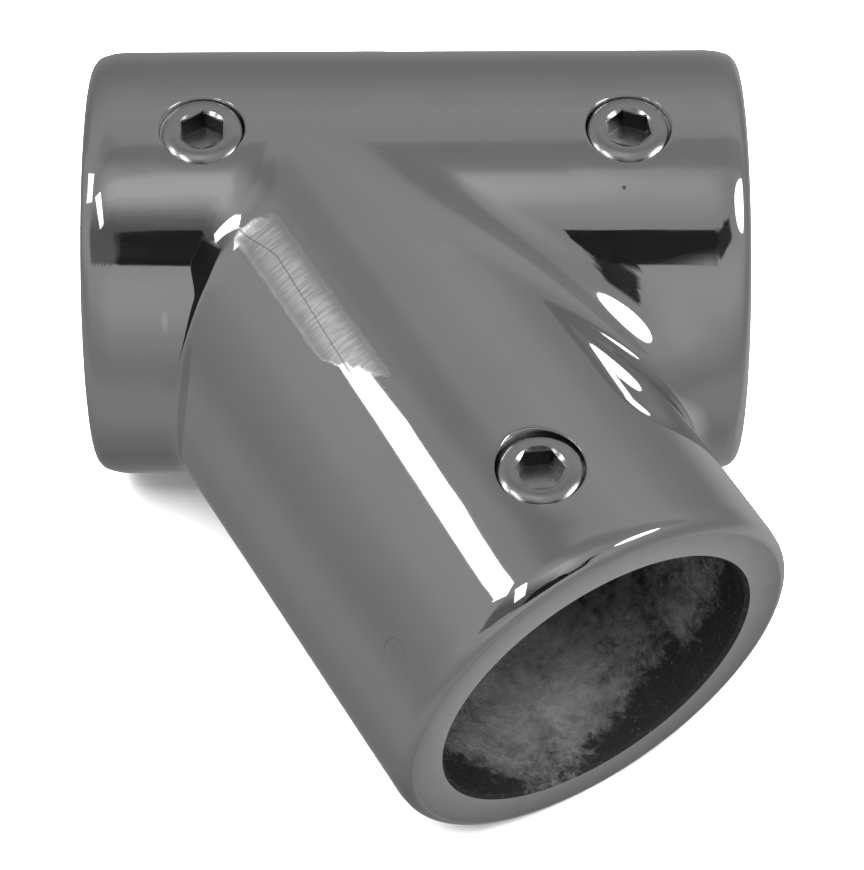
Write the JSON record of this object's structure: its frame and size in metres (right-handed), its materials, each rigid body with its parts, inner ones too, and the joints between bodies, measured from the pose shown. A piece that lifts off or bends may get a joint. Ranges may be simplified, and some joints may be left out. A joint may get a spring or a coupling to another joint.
{
  "type": "tube clamp tee fitting",
  "caption": "Cast 60 degree tee that joins a branch tube to a through tube, with socket set screws that clamp both tubes.",
  "frame": {"origin": "where the sleeve's bore axis and the branch's bore axis cross", "axes": "+X along the sleeve's bore towards its long end, +Z along the set screws and out of their heads, so the branch leaves the sleeve towards -Y at 60 degrees from +X"},
  "size_m": [0.0521, 0.0628, 0.033],
  "materials": {
    "polished_steel": "polished",
    "screw_steel": "satin"
  },
  "bodies": {
    "fitting": {"tee_body": "polished_steel"},
    "left_screw": {"set_screw_left": "screw_steel"},
    "right_screw": {"set_screw_right": "screw_steel"},
    "branch_screw": {"set_screw_branch": "screw_steel"}
  },
  "joints": [
    {"name": "left_screw_travel", "type": "slide", "parent": "fitting", "child": "left_screw", "axis": [0, 0, -1], "range_m": [-0.003, 0.0008]},
    {"name": "right_screw_travel", "type": "slide", "parent": "fitting", "child": "right_screw", "axis": [0, 0, -1], "range_m": [-0.003, 0.0008]},
    {"name": "branch_screw_travel", "type": "slide", "parent": "fitting", "child": "branch_screw", "axis": [0, 0, -1], "range_m": [-0.003, 0.0008]}
  ]
}
